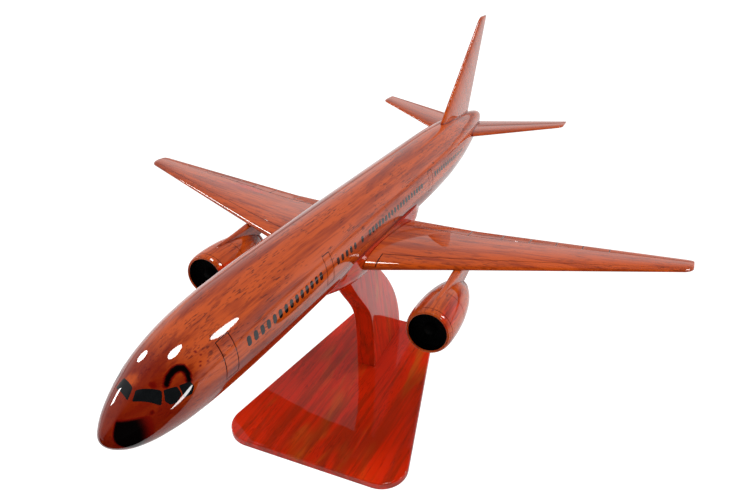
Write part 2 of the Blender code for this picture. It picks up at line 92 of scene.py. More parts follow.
class Signal:
    """A shader socket; arithmetic on it adds Math nodes, and node() adds any other node."""

    def __init__(self, tree, socket=None):
        self.tree, self.socket = tree, socket

    def node(self, kind, settings=None, sockets=None, out=0):
        made = self.tree.nodes.new(kind)
        for key, value in (settings or {}).items():
            setattr(made, key, value)
        for key, value in (sockets or {}).items():
            if isinstance(value, Signal):
                self.tree.links.new(value.socket, made.inputs[key])
            else:
                made.inputs[key].default_value = value
        return Signal(self.tree, made.outputs[out] if len(made.outputs) else None)

    def maths(self, operation, one, two):
        return self.node("ShaderNodeMath", {"operation": operation}, {0: one, 1: two})

    def __add__(self, other):
        return self.maths("ADD", self, other)

    def __sub__(self, other):
        return self.maths("SUBTRACT", self, other)

    def __rsub__(self, other):
        return self.maths("SUBTRACT", other, self)

    def __mul__(self, other):
        return self.maths("MULTIPLY", self, other)

    __radd__, __rmul__ = __add__, __mul__

    def step(self, low, high):
        """0 below low and 1 above high, with a smooth rise between them."""
        return self.node("ShaderNodeMapRange", {"interpolation_type": "SMOOTHSTEP"},
                         {"Value": self, "From Min": low, "From Max": high})

    def mix(self, colour, factor):
        """This colour turning into another one as factor goes from 0 to 1."""
        ends = {"Factor": factor, 6: self, 7: colour}
        return self.node("ShaderNodeMix", {"data_type": "RGBA"}, ends, 2)

    def noise(self, stretch, detail=2.0, rough=0.5, twist=0.0):
        """Noise whose cells are 1/stretch metres long on each axis."""
        scaled = self.node("ShaderNodeVectorMath", {"operation": "MULTIPLY"}, {0: self, 1: stretch})
        return self.node("ShaderNodeTexNoise", None, {"Vector": scaled, "Scale": 1.0, "Detail": detail,
                                                      "Roughness": rough, "Distortion": twist})


def shader(name):
    """New material with its nodes cleared to the output, and its object coordinates."""
    made = bpy.data.materials.new(name)
    made.use_nodes = True
    made.node_tree.nodes.clear()
    return made, Signal(made.node_tree).node("ShaderNodeTexCoord", out=3)


def close_shader(made, coords, **sockets):
    """Join a Principled surface with these socket values to the material's output."""
    named = {key.replace("_", " "): value for key, value in sockets.items()}
    surface = coords.node("ShaderNodeBsdfPrincipled", None, named)
    coords.node("ShaderNodeOutputMaterial", None, {"Surface": surface})
    return made


# Mahogany under clear gloss varnish: ribbons of orange and brown figure along the grain, thin
# brown streaks, short dark pores, and scribed lines where the attribute "scribed" is set.
EMBER = (0.50, 0.072, 0.008, 1.0)
CRIMSON = (0.60, 0.021, 0.003, 1.0)
CHESTNUT = (0.22, 0.020, 0.004, 1.0)
STREAK = (0.16, 0.012, 0.003, 1.0)
PORE = (0.06, 0.006, 0.003, 1.0)
SCRIBED = (0.035, 0.003, 0.002, 1.0)
# Dark red and black, used both for real dark marks and for painted shade.
DARK_RED_MARK_AND_SHADE = (0.15, 0.004, 0.0015, 1.0)
BLACK_MARK_AND_SHADE = (0.0015, 0.0008, 0.0008, 1.0)


def mahogany(name, turn, shift, red, brown, streaks, pores):
    """Mahogany whose grain runs along the Y axis of the coordinates turned by turn.  Red is how
    much crimson is in its ground; the others are strengths from 0 to 1."""
    made, coords = shader(name)
    wood = coords.node("ShaderNodeMapping", {"vector_type": "POINT"},
                       {"Vector": coords, "Location": shift, "Rotation": turn})
    figure = wood.noise((48, 9, 48), 3.0, 0.6, 0.5)
    ribbon = wood.noise((170, 11, 170), 3.0, 0.6, 0.4)
    fibre = wood.noise((620, 24, 620), 3.0, 0.65)
    dash = wood.noise((1700, 190, 1700), 1.0, 0.5)
    patch = wood.noise((110, 45, 110), 2.0, 0.6)
    colour = wood.node("ShaderNodeMix", {"data_type": "RGBA"}, {6: EMBER, 7: CRIMSON, "Factor":
                       figure.step(0.62 - 0.4 * red, 0.78 - 0.4 * red)}, 2)
    colour = colour.mix(CHESTNUT, ribbon.step(0.43, 0.64) * brown)
    colour = colour.mix(STREAK, fibre.step(0.48, 0.68) * streaks)
    colour = colour.mix(PORE, dash.step(0.56, 0.66) * patch.step(0.44, 0.60) * pores)
    line = wood.node("ShaderNodeAttribute", {"attribute_name": "scribed"}, out=2)
    colour = colour.mix(SCRIBED, line.step(0.15, 0.75))
    # This attribute darkens the wood, dark red at half strength and black at full. It carries real dark
    # marks, the black intake paint, and painted shade on the nose.
    stain = wood.node("ShaderNodeAttribute", {"attribute_name": "stain"}, out=2)
    colour = colour.mix(DARK_RED_MARK_AND_SHADE, stain.step(0.0, 0.5)).mix(BLACK_MARK_AND_SHADE, stain.step(0.45, 1.0))
    relief = wood.node("ShaderNodeBump", None, {"Strength": 0.1, "Distance": 0.0002,
                                                "Height": fibre * 0.4 - dash.step(0.6, 0.7)})
    return close_shader(made, coords, Base_Color=colour, Roughness=0.42, Specular_IOR_Level=0.0,
                        Coat_Weight=1.0, Coat_Roughness=0.018, Coat_IOR=1.5, Normal=relief)


def polish_waves(x, y, height):
    """Hand-polished unevenness: three crossing sine waves, 9 to 23 mm long, summed to height."""
    wave = np.sin(x / 1.9 + 0.4) * np.sin(y / 2.6 + 1.1) + 0.8 * np.sin(x / 3.7 - y / 1.5)
    return height * (wave + 0.7 * np.sin((x + y) / 1.45 + 2.0)) / 2.5


BOARD_LOW, BOARD_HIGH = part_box("base_board")
BOARD_WIDE, BOARD_NARROW = 61.4, 30.2          # half widths at the nose end and the tail end
BOARD_CORNERS = ((BOARD_WIDE, BOARD_LOW.y / MM, 16.0), (BOARD_NARROW, BOARD_HIGH.y / MM, 9.0))


def board_outline(inset, steps=22):
    """Trapezium with round corners, in mm: each corner is an arc tangent to both sides."""
    slant = math.atan2(BOARD_WIDE - BOARD_NARROW, (BOARD_HIGH.y - BOARD_LOW.y) / MM)
    turns = ((-math.pi / 2, slant), (slant, math.pi / 2))
    right = []
    for (half, y, radius), (begin, end) in zip(BOARD_CORNERS, turns):
        reach = radius * math.tan((end - begin) / 2)
        centre = np.array((half, y)) - reach * np.array((-math.sin(begin), math.cos(begin)))
        centre -= radius * np.array((math.cos(begin), math.sin(begin)))
        angle = np.linspace(begin, end, steps)
        right.append(centre + (radius - inset) * np.stack((np.cos(angle), np.sin(angle)), -1))
    gap = right[0][-1] + (right[1][0] - right[0][-1]) * np.linspace(0.04, 0.96, 24)[:, None]
    side = np.vstack((right[0], gap, right[1]))
    ends = [np.stack((np.linspace(-1, 1, 16)[1:-1] * half[0], np.full(14, half[1])), -1)
            for half in (right[1][-1], right[0][0])]
    ends[0][:, 0] *= -1
    return np.vstack((side, ends[0], side[::-1] * (-1, 1), ends[1]))


def slab(name, low, high, inset, ease, waves, skin):
    """The board's outline less inset, as a plate from low to high: a quarter-round of radius ease
    at both edges, then rings shrinking to the middle; polish waves lift the upper face."""
    bend = np.radians(np.linspace(0, 90, 6))
    edge = [(inset + ease * (1 - np.cos(b)), high - ease * (1 - np.sin(b))) for b in bend]
    rings = []
    for cut, z in edge:
        plan = board_outline(cut)
        rings.append(np.column_stack((plan, np.full(len(plan), z))))
    for share in np.linspace(0.985, 0.02, 44):
        plan = board_outline(inset + ease) * share
        z = high + polish_waves(plan[:, 0], plan[:, 1], waves) * min(1.0, (1 - share) * 12)
        rings.append(np.column_stack((plan, z)))
    under = [ring * (1, 1, 0) + (0, 0, low + high - z) for ring, (_, z) in zip(rings[:6], edge)]
    return closed_mesh(name, np.array(under[::-1] + rings) * MM, skin=skin)


board = slab("board_varnished", BOARD_LOW.z / MM, BOARD_HIGH.z / MM, 0.0, 0.8, 0.007,
             mahogany("mahogany_board", (0, 0, math.radians(4)), (0.3, 0.1, 0.0),
                      red=0.75, brown=0.6, streaks=0.3, pores=0.35))
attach(board, "stand")
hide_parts("base_board")


# ------------------------------------------------------------------------------ felt
# A thin sheet of dark felt is glued under the board, 2 mm in from its edge, so that the stand
# doesn't scratch the desk.
felt_low, felt_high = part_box("base_felt")
FELT_INSET = 2.0
felt_skin, coords = shader("felt_charcoal")
fuzz = coords.noise((2600, 2600, 2600), 4.0, 0.7)
lint = coords.noise((300, 300, 300), 2.0, 0.5)
cloth = coords.node("ShaderNodeMix", {"data_type": "RGBA"}, {
    6: (0.016, 0.016, 0.018, 1), 7: (0.055, 0.054, 0.058, 1), "Factor": fuzz * 0.7 + lint * 0.3}, 2)
nap = coords.node("ShaderNodeBump", None, {"Strength": 0.6, "Distance": 0.0003, "Height": fuzz})
close_shader(felt_skin, coords, Base_Color=cloth, Roughness=0.95, Sheen_Weight=0.3, Normal=nap)
felt = slab("felt_sheet", felt_low.z / MM, felt_high.z / MM, FELT_INSET, 0.2, 0.0, felt_skin)
plan = board_outline(FELT_INSET) * MM
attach(felt, "stand")
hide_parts("base_felt")


# ------------------------------------------------------------------------------ aircraft axes
PITCH = math.radians(9.44)                     # the arm holds the aircraft nose-up
SEAT_A, SEAT_H = 203.2, -22.8                  # seat on the belly, in aircraft axes
SEAT_Y, SEAT_Z = -5.5, 104.1                   # the same point in the world


def placed(x, a, h):
    """World metres of points in aircraft axes: turned about the seat by the pitch."""
    x, a, h = np.broadcast_arrays(x, a, h)
    aft, up = a - SEAT_A, h - SEAT_H
    y = SEAT_Y + aft * math.cos(PITCH) + up * math.sin(PITCH)
    z = SEAT_Z - aft * math.sin(PITCH) + up * math.cos(PITCH)
    return np.stack((x, y, z), -1) * MM


# ------------------------------------------------------------------------------ arm
# The arm is a curved plank sawn from the same wood, screwed up through the board, with a flat
# top cut to the belly's angle and two pegs set in it.
ARM_LOW, ARM_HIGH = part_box("stand_arm")
ARM_FRONT = np.array(((17.8, ARM_LOW.z / MM), (17.8, 68.0), (11.8, 49.0)))
ARM_REAR = np.array(((64.4, ARM_LOW.z / MM), (64.4, 45.5), (31.0, 75.8)))
ARM_TOP_A = (187.5, 218.2)
ARM_EASE = 0.5


def bezier(controls, top, t):
    """Cubic Bezier curve through its first control and top, read at each t."""
    u = 1 - t
    weights = np.stack((u ** 3, 3 * u * u * t, 3 * u * t * t, t ** 3), -1)
    return weights @ np.vstack((controls, top))


def eased_box(half, long, ease, steps=5, runs=9):
    """Outline of a rectangle 2*half wide and long deep, with quarter-round corners, as
    (across, along) pairs."""
    corner = np.radians(np.linspace(0, 90, steps))
    arc = np.stack((half - ease + ease * np.sin(corner), ease - ease * np.cos(corner)), -1)
    side = np.stack((np.full(runs, half), np.linspace(ease, long - ease, runs + 2)[1:-1]), -1)
    right = np.vstack((arc, side, (arc * (1, -1) + (0, long))[::-1]))
    return np.vstack((right, right[::-1] * (-1, 1)))


lift = np.concatenate(([0, 0.002, 0.005], np.linspace(0.012, 0.988, 90), [0.995, 0.998, 1.0]))
tops = placed(0, np.array(ARM_TOP_A), SEAT_H - 0.3)[:, 1:] / MM
ahead, behind = bezier(ARM_FRONT, tops[0], lift), bezier(ARM_REAR, tops[1], lift)
rings = []
for near, far in zip(ahead, behind):
    depth = np.linalg.norm(far - near)
    section = eased_box(ARM_HIGH.x / MM, depth, ARM_EASE)
    yz = near + (far - near) * (section[:, 1:] / depth)
    bulge = polish_waves(yz[:, 0], yz[:, 1], 0.012) * np.sign(section[:, 0])
    rings.append(np.column_stack((section[:, 0] - np.abs(bulge) * np.sign(section[:, 0]), yz)))
arm = closed_mesh("arm_plank", np.array(rings) * MM, skin=mahogany(
    "mahogany_arm", (math.radians(78), 0, 0), (0.0, 0.4, 0.2), red=0.9, brown=0.5, streaks=0.4,
    pores=0.4))
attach(arm, "stand")
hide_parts("stand_arm")


# ------------------------------------------------------------------------------ screws, pegs, pins
# Zinc-plated screws hold the arm to the board and small pins hold the engines; pale hardwood
# pegs carry the aircraft and pale dowels glue its wings and tail. All are mostly out of sight.
steel, coords = shader("zinc_plated_steel")
grime = coords.noise((400, 400, 900), 3.0, 0.6)
close_shader(steel, coords, Base_Color=coords.node("ShaderNodeMix", {"data_type": "RGBA"}, {
    6: (0.55, 0.56, 0.55, 1), 7: (0.70, 0.69, 0.64, 1), "Factor": grime}, 2),
    Roughness=grime * 0.2 + 0.2, Metallic=1.0)
pale_wood, coords = shader("beech_dowel")
line = coords.noise((900, 900, 120), 3.0, 0.6)
close_shader(pale_wood, coords, Base_Color=coords.node("ShaderNodeMix", {"data_type": "RGBA"}, {
    6: (0.66, 0.50, 0.31, 1), 7: (0.48, 0.32, 0.17, 1), "Factor": line.step(0.42, 0.68)}, 2),
    Roughness=0.55, Normal=coords.node("ShaderNodeBump", None, {
        "Strength": 0.3, "Distance": 0.0002, "Height": line}))
for name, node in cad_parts.items():
    if "screw" in name or "pin" in name or "dowel" in name or "peg" in name:
        node.data.materials.clear()
        node.data.materials.append(steel if "screw" in name or "pin" in name else pale_wood)


# ------------------------------------------------------------------------------ fuselage
# The fuselage is one turned and carved mahogany body, oval in section, with six doors scribed
# into its sides, a black arch and small dark marks over the cockpit, and painted shade that darkens the
# nose.
LENGTH = 470.2
BODY_A = np.array((0, 4, 10, 20, 35, 55, 80, 110, 180, 300, 340, 375, 408, 440, 462, LENGTH))
BODY_CROWN = np.array((-5.2, -0.8, 3.5, 8.9, 14.5, 18.6, 21.0, 22.0, 22.5, 22.6, 22.6, 22.0, 19.7,
                       16.6, 13.4, 11.6))
BODY_KEEL = np.array((-5.2, -11.2, -14.5, -17.1, -18.6, -19.1, -19.4, -19.5, -19.2, -18.7, -17.4,
                      -14.2, -9.2, -2.8, 3.2, 6.2))
BODY_HALF = np.array((0, 5.8, 9.4, 13.2, 16.8, 19.0, 20.0, 20.3, 20.1, 19.8, 19.3, 17.5, 14.4, 9.8,
                      5.8, 3.4))
TAIL_ROUND = 3.5


def smooth_line(x, xs, ys):
    """Monotone cubic curve through the control points, with harmonic-mean slopes, read at x."""
    step = np.diff(xs)
    rise = np.diff(ys) / step
    slope = np.concatenate((rise[:1], np.zeros(len(rise) - 1), rise[-1:]))
    same = rise[:-1] * rise[1:] > 0
    total = np.where(same, rise[:-1] + rise[1:], 1.0)
    slope[1:-1] = np.where(same, 2 * rise[:-1] * rise[1:] / total, 0.0)
    k = np.clip(np.searchsorted(xs, x) - 1, 0, len(xs) - 2)
    u = (x - xs[k]) / step[k]
    ends = (1 + 2 * u) * (1 - u) ** 2 * ys[k] + u ** 2 * (3 - 2 * u) * ys[k + 1]
    return ends + step[k] * u * (1 - u) * ((1 - u) * slope[k] - u * slope[k + 1])


def oval(a):
    """Half width, half height and middle height of the fuselage section at station a."""
    t, stations = np.sqrt(a), np.sqrt(BODY_A)
    crown, keel, half = (smooth_line(t, stations, line) for line in (BODY_CROWN, BODY_KEEL, BODY_HALF))
    close = np.sqrt(np.clip(1 - np.clip((a - LENGTH + TAIL_ROUND) / TAIL_ROUND, 0, 1) ** 2, 0, 1))
    return half * close, (crown - keel) / 2 * close, (crown + keel) / 2


def hull(a, angle, proud=0.0):
    """Points of the fuselage skin at station a and angle from the crown towards port, on an
    ellipse, moved proud millimetres outwards along its normal in the section."""
    half, tall, middle = oval(a)
    sine, cosine = np.sin(angle), np.cos(angle)
    size = np.hypot(tall * sine, half * cosine) + 1e-9
    x = half * sine + proud * tall * sine / size
    return placed(x, a, middle + tall * cosine + proud * half * cosine / size)


def angle_at(a, h):
    """Angle on the section at station a whose height is h."""
    _, tall, middle = oval(np.asarray(a, float))
    return np.arccos(np.clip((h - middle) / tall, -1, 1))


# Front and rear edges of each door, then the heights of its top and foot.
DOORS = ((48.4, 56.0, 12.0, -3.4), (133.6, 140.6, 13.2, -1.2), (286.0, 293.6, 11.5, -1.6))
SCRIBE = 0.30                                  # half width of a scribed line
SCRIBE_DEPTH = 0.16


def with_lines(values, lines, half):
    """The sorted values plus six close ones across each line, so that a groove has a floor."""
    lines = np.asarray(lines)
    kept = values[np.abs(values[:, None] - lines).min(1) > 1.6 * half]
    close = (lines[:, None] + half * np.array((-1.5, -1.0, -0.4, 0.4, 1.0, 1.5))).ravel()
    return np.unique(np.concatenate((kept, close)))


def groove(distance, half):
    """1 on a scribed line and 0 outside it: a trapezium over the distance from its middle."""
    return np.clip((half - np.abs(distance)) / (0.6 * half), 0, 1)


rows = np.concatenate((np.linspace(0.25, 7.9, 105) ** 2, np.arange(64.0, LENGTH - TAIL_ROUND, 1.9),
                       LENGTH - TAIL_ROUND * (1 - np.sin(np.radians(np.linspace(8, 88, 9))))))
rows = with_lines(rows, [edge for door in DOORS for edge in door[:2]], SCRIBE)
door_angles = [float(angle_at((d[0] + d[1]) / 2, h)) for d in DOORS for h in d[2:]]
half_turn = SCRIBE / 20.0
turns = with_lines(np.linspace(-math.pi, math.pi, 181)[:-1], door_angles + [-t for t in door_angles],
                   half_turn)
a_grid, turn_grid = np.meshgrid(rows, turns, indexing="ij")
scribed = np.zeros_like(a_grid)
for number, (fore, aft, _, _) in enumerate(DOORS):
    upper, lower = door_angles[2 * number:2 * number + 2]
    away = np.abs(turn_grid)
    tall = (away > upper - half_turn) & (away < lower + half_turn)
    wide = (a_grid > fore - SCRIBE) & (a_grid < aft + SCRIBE)
    for edge in (fore, aft):
        scribed = np.maximum(scribed, groove(a_grid - edge, SCRIBE) * tall)
    for edge in (upper, lower):
        scribed = np.maximum(scribed, groove(away - edge, half_turn) * wide)

SMOKE_ARCH = np.array(((23.5, 42.3), (25.5, 37.4), (28.2, 36.0), (30.3, 38.0), (31.7, 43.0), (31.8, 51.0),
                       (30.9, 59.0)))             # station and degrees round the hull
ARCH_DEGREE = 0.2356                           # millimetres to a degree there


def soft(value, low, high):
    """0 below low, 1 above high and a smooth rise between them."""
    t = np.clip((value - low) / (high - low), 0, 1)
    return t * t * (3 - 2 * t)


def off_path(a, across, path):
    """Shortest distance to a path of straight runs: the least over the runs of the distance to
    the nearest point of each."""
    start, run = path[:-1], np.diff(path, axis=0)
    away = np.stack((a, across), -1)[..., None, :] - start
    share = np.clip((away * run).sum(-1) / (run ** 2).sum(-1), 0, 1)
    return np.linalg.norm(away - share[..., None] * run, axis=-1).min(-1)


def dark_marks_and_painted_shade(a, angle):
    """Strength of dark marks and painted shade: a black arch above the port cockpit panes,
    painted shade that blackens a patch under the nose and darkens the nose red, small smears, and flecks
    behind the arch."""
    half, tall, middle = oval(a)
    x, h = half * np.sin(angle), middle + tall * np.cos(angle)
    degrees = np.degrees(angle)
    arch = 1 - soft(off_path(a, degrees * ARCH_DEGREE, SMOKE_ARCH * (1, ARCH_DEGREE)), 0.70, 1.80)
    # Painted shade: a black patch low on the port side of the nose, strongest towards its tip.
    patch = soft(x + 0.42 * h, 0.9, 2.0) * soft(0.5 - h, -0.8, 0.8) * (1 - 0.75 * soft(a, 8.0, 16.0))
    brow = (1 - soft(np.hypot((a - 20.2) / 1.3, (degrees - 28) / 9), 0.3, 1.5)) * 0.6
    smear = (1 - soft(np.hypot(a - 14.5, (degrees - 60) * 0.2), 0.3, 1.6)) * 0.7
    weave = np.sin(a * 2.3 + angle * 7) * np.sin(a * 0.9 - angle * 23)
    weave = weave + 0.5 * np.sin(a * 4.1 - angle * 41)
    behind = 1 - soft(np.hypot((a - 39.5) / 5.5, (degrees - 48) / 22), 0.4, 1.1)
    flecks = soft(weave, 0.45, 1.2) * behind
    clear = soft(16 - np.hypot(a - 18.5, (degrees + 9) * 0.2), 12, 15)
    # Painted shade: the nose darker red over its first 20 mm, fading out by 50 mm, and less so on a small
    # spot near a = 18.5 mm just to starboard of the crown.
    red = 0.36 * (1 - soft(a, 20, 50)) * (1 - 0.8 * clear)
    return np.maximum.reduce((arch, patch, brow, smear, flecks * 0.5, red))


waves = polish_waves(a_grid, turn_grid * 20.3, 0.005) * soft(a_grid, 10, 60)
hull_points = hull(a_grid, turn_grid, waves - SCRIBE_DEPTH * scribed)
tip = placed(0, 0.0, BODY_CROWN[0])
stern = placed(0, LENGTH, (BODY_CROWN[-1] + BODY_KEEL[-1]) / 2)
ALONG = (PITCH, 0, 0)                           # turns the grain along the aircraft
fuselage = closed_mesh("fuselage_body", hull_points, tip, stern,
                       mahogany("mahogany_fuselage", ALONG, (0.02, 0.0, 0.0), red=-0.3, brown=0.75,
                                streaks=0.6, pores=0.7),
                       scribed=scribed, stain=dark_marks_and_painted_shade(a_grid, turn_grid))
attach(fuselage, "aircraft")
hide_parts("fuselage")


# ------------------------------------------------------------------------------ windows and panes
# Cabin windows and cockpit panes are thin gloss-black inlays, let into the hull and varnished
# over, so they stand no more than a tenth of a millimetre proud.
lacquer, coords = shader("gloss_black_lacquer")
haze = coords.noise((500, 500, 500), 2.0, 0.5)
black = coords.node("ShaderNodeMix", {"data_type": "RGBA"}, {
    6: (0.0035, 0.004, 0.0045, 1), 7: (0.008, 0.009, 0.010, 1), "Factor": haze}, 2)
close_shader(lacquer, coords, Base_Color=black, Roughness=haze * 0.1 + 0.12, Specular_IOR_Level=0.0,
             Coat_Weight=1.0, Coat_Roughness=0.02, Coat_IOR=1.5)


def inlay(name, outlines, skin=lacquer):
    """Thin inlays on the hull: each outline, an array of (station, angle), shrinks in
    rings to its middle above the skin, and once more below it, so every inlay is closed."""
    share = np.array((0.02, 0.2, 0.35, 0.5, 0.62, 0.74, 0.85, 0.93, 1.0, 1.0, 0.5, 0.02))
    proud = np.concatenate((np.full(9, 0.05), (-0.25, -0.3, -0.3)))
    centre = outlines.mean(1, keepdims=True)
    shapes = centre[:, None] + (outlines - centre)[:, None] * share[None, :, None, None]
    a, angle = shapes[..., 0], shapes[..., 1]
    points = hull(a, angle, np.broadcast_to(proud[None, :, None], a.shape))
    count, rings, sides, _ = points.shape
    row, side = np.meshgrid(np.arange(rings - 1), np.arange(sides), indexing="ij")
    here, after = row * sides + side, row * sides + (side + 1) % sides
    quads = np.stack((here, here + sides, after + sides, after), -1).reshape(-1, 4)
    caps = np.stack((np.arange(sides)[::-1], (rings - 1) * sides + np.arange(sides)))
    if outlines[0, :, 1].mean() < 0:
        quads, caps = quads[:, ::-1], caps[:, ::-1]
    jump = (np.arange(count) * rings * sides)[:, None, None]
    faces = (quads + jump).reshape(-1, 4).tolist() + (caps + jump).reshape(-1, sides).tolist()
    mesh = bpy.data.meshes.new(name)
    mesh.from_pydata(points.reshape(-1, 3).tolist(), [], faces)
    mesh.shade_smooth()
    mesh.set_sharp_from_angle(angle=math.radians(50))
    mesh.materials.append(skin)
    piece = bpy.data.objects.new(name, mesh)
    bpy.context.scene.collection.objects.link(piece)
    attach(piece, "aircraft")
    return piece


def row_of(count, first, last, top_first, top_last, foot_first, foot_last):
    """Evenly spaced windows: station, upper and lower height of each."""
    share = np.linspace(0, 1, count) if count > 1 else np.zeros(1)
    return np.stack((first + share * (last - first), top_first + share * (top_last - top_first),
                     foot_first + share * (foot_last - foot_first)), -1)


CABIN = np.vstack((row_of(14, 64.4, 127.4, 7.2, 8.4, 3.2, 4.7),
                   row_of(5, 146.5, 167.1, 8.2, 8.2, 4.8, 4.8),
                   row_of(1, 176.5, 176.5, 8.2, 8.2, 5.0, 5.0),
                   row_of(19, 186.7, 272.1, 8.2, 8.2, 5.1, 5.2),
                   row_of(15, 299.8, 367.0, 8.7, 7.4, 5.6, 5.0)))
WINDOW_HALF = 1.42
AFT_OF_WING, AFT_EXTRA = 180.0, 0.2            # windows aft of this are that much wider each way
ROUND_SLOT = 3.0                               # power of the superellipse, 2 is an ellipse


def slots(side):
    """Window outlines on one side: superellipses about each window's middle."""
    turn = np.linspace(0, 2 * math.pi, 28, endpoint=False)
    wide = np.sign(np.cos(turn)) * np.abs(np.cos(turn)) ** (2 / ROUND_SLOT)
    tall = np.sign(np.sin(turn)) * np.abs(np.sin(turn)) ** (2 / ROUND_SLOT)
    upper, lower = (angle_at(CABIN[:, 0], CABIN[:, k])[:, None] for k in (1, 2))
    a = CABIN[:, :1] + (WINDOW_HALF + AFT_EXTRA * (CABIN[:, :1] > AFT_OF_WING)) * wide
    angle = (upper + lower) / 2 + (lower - upper) / 2 * tall
    return np.stack((a, side * angle), -1)


for label, side in (("port", 1), ("starboard", -1)):
    inlay("cabin_windows_" + label, slots(side))


def pane(corners, side=1):
    """Pane outline: straight edges between the corners, then each point averaged once with its
    two neighbours, which takes the sharpness off the corners."""
    corners = np.array(corners, float)
    edge = np.linspace(0, 1, 8, endpoint=False)[:, None]
    outline = np.concatenate([one + (two - one) * edge for one, two in
                              zip(corners, np.roll(corners, -1, 0))])
    outline = (np.roll(outline, 1, 0) + 2 * outline + np.roll(outline, -1, 0)) / 4
    outline[:, 1] = side * np.radians(outline[:, 1])
    return outline[None]


def height_pane(corners):
    """The same with corners given as (station, height), turned into (station, degrees)."""
    return [(a, math.degrees(angle_at(a, h))) for a, h in corners]


SIDE_FRONT = height_pane(((21.5, 5.6), (25.9, 5.2), (26.1, 2.2), (23.2, 0.3), (21.0, 0.6), (19.8, 2.4)))
SIDE_REAR = height_pane(((26.6, 5.2), (31.0, 4.9), (31.7, 2.8), (30.0, 0.5), (26.8, 0.6), (26.5, 2.2)))
inlay("cockpit_pane_port_front", pane(((16.0, 10.6), (21.0, 44.0), (18.0, 61.5), (12.3, 18.2))))
inlay("cockpit_pane_starboard_front", pane(((16.3, 3.4), (11.9, 9.6), (15.6, -32.2), (19.3, -25.2))[::-1]))
for label, side in (("port", 1), ("starboard", -1)):
    inlay("cockpit_pane_" + label + "_side", pane(SIDE_FRONT, side))
    inlay("cockpit_pane_" + label + "_rear", pane(SIDE_REAR, side))


# ------------------------------------------------------------------------------ belly fairing
# A separate saddle of the same wood is glued under the fuselage; its upright sides take the
# wing roots, its front is pared down to a wedge, and it sits over the pegs on the arm.
FAIR_A = np.array((140, 152, 162, 174, 186, 222, 250, 262, 276, 296.0))
FAIR_HALF = np.array((12.0, 15.6, 18.6, 20.4, 20.6, 20.6, 20.5, 19.8, 17.0, 11.0))
FAIR_BOTTOM = np.array((-16.5, -18.4, -20.0, -21.6, -22.8, -22.8, -22.8, -22.2, -20.0, -15.8))
FAIR_TOP, FAIR_KNEE, FAIR_FLAT = -3.2, -11.0, 0.4
stations = np.linspace(FAIR_A[0], FAIR_A[-1], 110)
half, bottom = (smooth_line(stations, FAIR_A, line)[:, None] for line in (FAIR_HALF, FAIR_BOTTOM))
sweep = np.radians(np.linspace(0, 90, 22))
flat = half * FAIR_FLAT
under_x = flat + (half - flat) * np.cos(sweep)
under_h = FAIR_KNEE + (bottom - FAIR_KNEE) * np.sin(sweep)
side_h = np.linspace(FAIR_TOP, FAIR_KNEE, 6)[:-1] + 0 * half
floor_x = flat * np.linspace(1, 0, 6)[1:]
right_x = np.hstack((half + 0 * side_h, under_x, floor_x))
right_h = np.hstack((side_h, under_h, bottom + 0 * floor_x))
section_x = np.hstack((right_x, -right_x[:, -2::-1]))
section_h = np.hstack((right_h, right_h[:, -2::-1]))
waves = polish_waves(stations[:, None], section_x + section_h, 0.008)
saddle = placed(section_x * (1 - np.abs(waves) / 20), stations[:, None], section_h)
fairing = closed_mesh("belly_saddle", saddle,
                      skin=mahogany("mahogany_fairing", ALONG, (0.2, 0.1, 0.3), red=0.55, brown=0.3,
                                    streaks=0.5, pores=0.5))
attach(fairing, "aircraft")
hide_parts("belly_fairing")


# ------------------------------------------------------------------------------ wings
# Each wing is one tapered blade with a thin blunt trailing edge, doweled to the fairing; slats
# and flaps are scribed along both edges of its upper and lower faces.
TE_THICK = 0.7
WING = dict(span=(20.9, 62.0, 186.0), le=(176.2, 198.6, 266.2), te=(253.8, 257.3, 282.2),
            thick=(9.6, 6.2, 2.4), rise=(-10.2, -10.6, -11.9), tip=5.0, upper=0.6)
SLAT_SHARE, FLAP_MM = 0.135, 12.5
FLAP_TAPER = (1.15, 0.32)                      # share of the flap's depth at root and tip
SLAT_CHORD, FLAP_CHORD = 90.0, 60.0            # millimetres to a share of 1 at those lines
FLAP_TICKS = (59.0, 78.0, 94.0, 109.0, 124.0, 139.0)
SLAT_TICK = 26.4
WING_SCRIBE = 0.42                             # the saw leaves wider lines on the wings


def blade(plan, spans, shares):
    """Aerofoil sections at spans: chord shares to (along, over, under) heights from the classic
    four-digit thickness formula plus a wedge for the blunt trailing edge; near the tip the
    chord shortens and thins on a circle."""
    span, round_off = np.array(plan["span"]), plan["tip"]
    le, te, thick, rise = (np.interp(spans, span, plan[key])[:, None]
                           for key in ("le", "te", "thick", "rise"))
    past = np.clip((spans - span[-1] + round_off) / round_off, 0, 1)[:, None]
    shrink = 1 - np.sqrt(1 - past ** 2)
    le, te = le + 0.9 * round_off * shrink, te - 0.35 * round_off * shrink
    thick = thick * (1 - 0.6 * shrink)
    c = shares
    body = 5 * thick * (0.2969 * np.sqrt(c) - 0.1260 * c - 0.3516 * c ** 2 + 0.2843 * c ** 3
                        - 0.1036 * c ** 4) + TE_THICK / 2 * c
    return le + (te - le) * c, rise + 2 * plan["upper"] * body, rise - 2 * (1 - plan["upper"]) * body


def chord_shares(slat, flap, count=16):
    """Chord positions, one row per span: close to the leading edge, across the slat line, over
    the middle, across the flap line and on to the trailing edge, as shares of the chord."""
    nose = (1 - np.cos(np.linspace(0, math.pi / 2, count))) * 0.92
    line = np.array((-1.5, -1.0, -0.4, 0.4, 1.0, 1.5))
    ones = np.ones((len(slat), 1))
    parts = [ones * nose * slat[:, None], slat[:, None] + line * WING_SCRIBE / SLAT_CHORD,
             slat[:, None] + (flap - slat)[:, None] * np.linspace(0.04, 0.96, 26),
             flap[:, None] + line * WING_SCRIBE / FLAP_CHORD,
             flap[:, None] + (1 - flap)[:, None] * np.linspace(0.12, 1.0, 9)]
    return np.hstack(parts)


